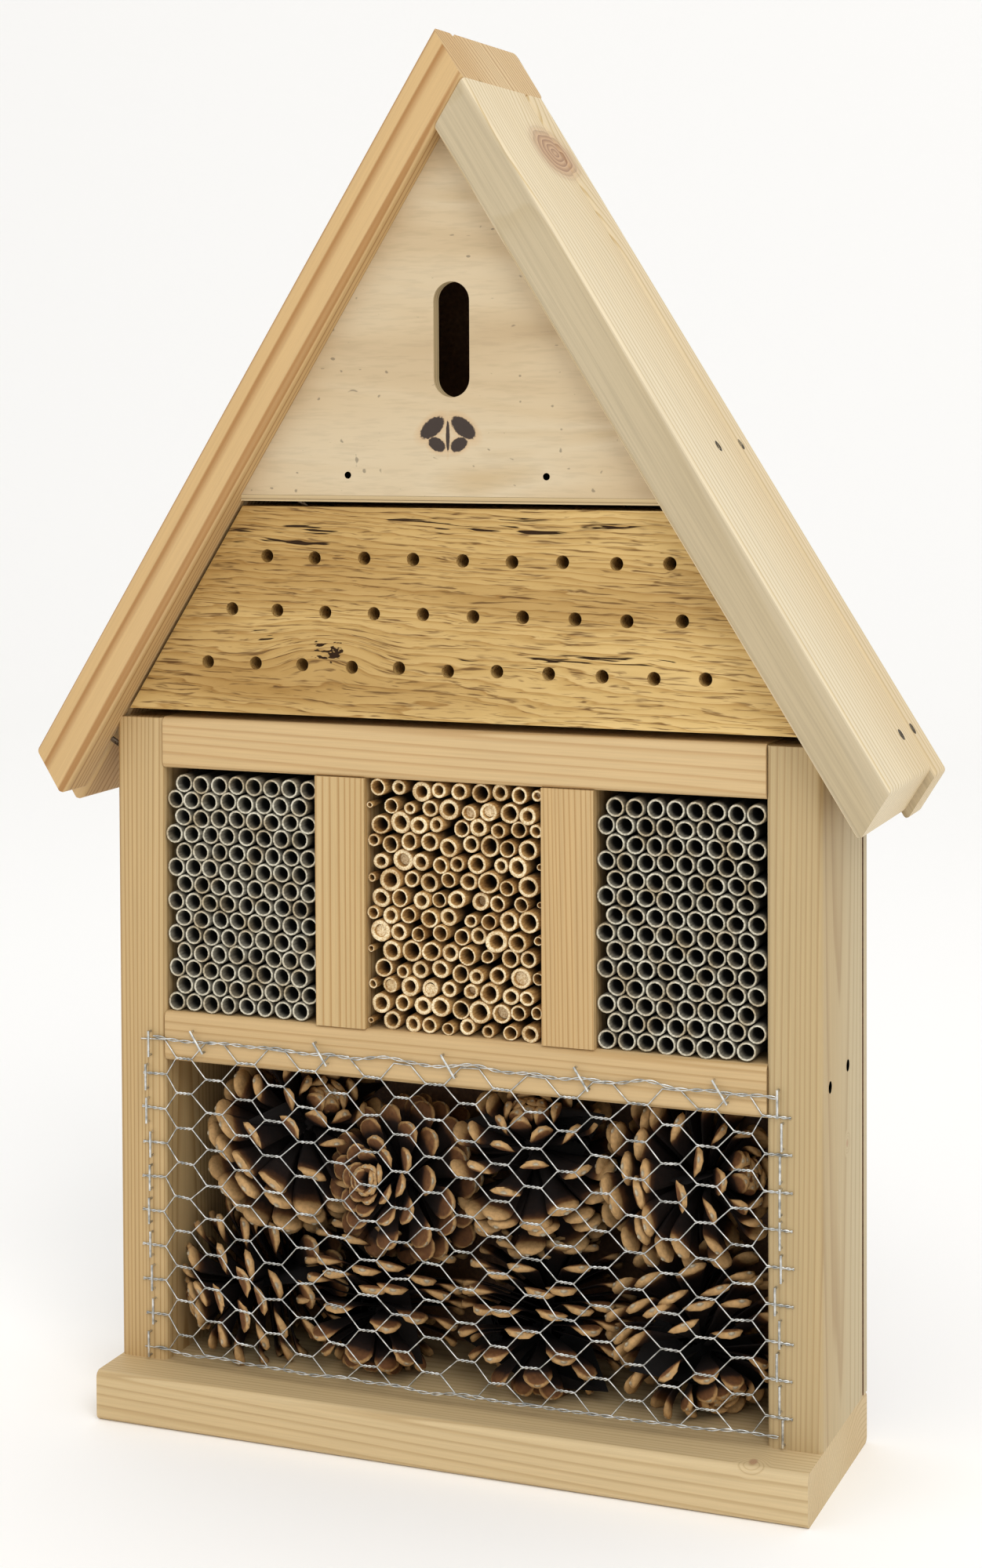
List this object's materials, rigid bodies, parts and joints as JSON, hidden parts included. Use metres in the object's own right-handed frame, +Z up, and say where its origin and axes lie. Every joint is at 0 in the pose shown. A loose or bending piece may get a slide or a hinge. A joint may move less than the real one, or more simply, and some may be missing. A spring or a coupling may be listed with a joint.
{
  "type": "insect hotel",
  "caption": "House-shaped insect hotel with a steep roof, drilled oak block, paper tubes, reed stems, and pine cones behind wire netting.",
  "frame": {"origin": "middle of the footprint, on the base board's underside", "axes": "+Z up, +X to the right as seen from the front, +Y to the back; the front faces -Y"},
  "size_m": [0.3366, 0.0885, 0.5208],
  "materials": {
    "spruce": "planed softwood, unfinished, with growth rings and a few knots",
    "plywood": "sanded birch-faced plywood with a burnt leaf motif",
    "fibreboard": "smooth brown hardboard",
    "oak": "planed oak with dark drying checks",
    "rolled_paper": "grey rolled paper with pale cut rims",
    "reed": "dry straw-coloured reed, sawn ends",
    "cone_scale": "dark brown scales with tan tips",
    "galvanised_wire": "dull bright galvanised wire",
    "bright_steel": "plain steel, slightly tarnished",
    "yellow_zinc": "yellow zinc plated screws"
  },
  "bodies": {
    "root": {"base_board": "spruce", "side_board_left": "spruce", "side_board_right": "spruce", "top_rail": "spruce", "middle_rail": "spruce", "mullion_left": "spruce", "mullion_right": "spruce", "roof_left_front": "spruce", "roof_left_rear": "spruce", "roof_right_front": "spruce", "roof_right_rear": "spruce", "gable_shelf": "spruce", "gable_panel": "plywood", "back_panel": "fibreboard", "nesting_block": "oak", "paper_tubes_left": "rolled_paper", "paper_tubes_right": "rolled_paper", "reed_stems": "reed", "pine_cone_1": "cone_scale", "pine_cone_2": "cone_scale", "pine_cone_3": "cone_scale", "pine_cone_4": "cone_scale", "pine_cone_5": "cone_scale", "pine_cone_6": "cone_scale", "pine_cone_7": "cone_scale", "pine_cone_8": "cone_scale", "wire_netting": "galvanised_wire", "selvedge_top": "galvanised_wire", "selvedge_bottom": "galvanised_wire", "staples_rail": "galvanised_wire", "staples_left": "galvanised_wire", "staples_right": "galvanised_wire", "gable_nails": "bright_steel", "roof_nails": "bright_steel", "side_nails": "bright_steel", "panel_nails": "bright_steel", "base_screws": "yellow_zinc"}
  },
  "joints": []
}
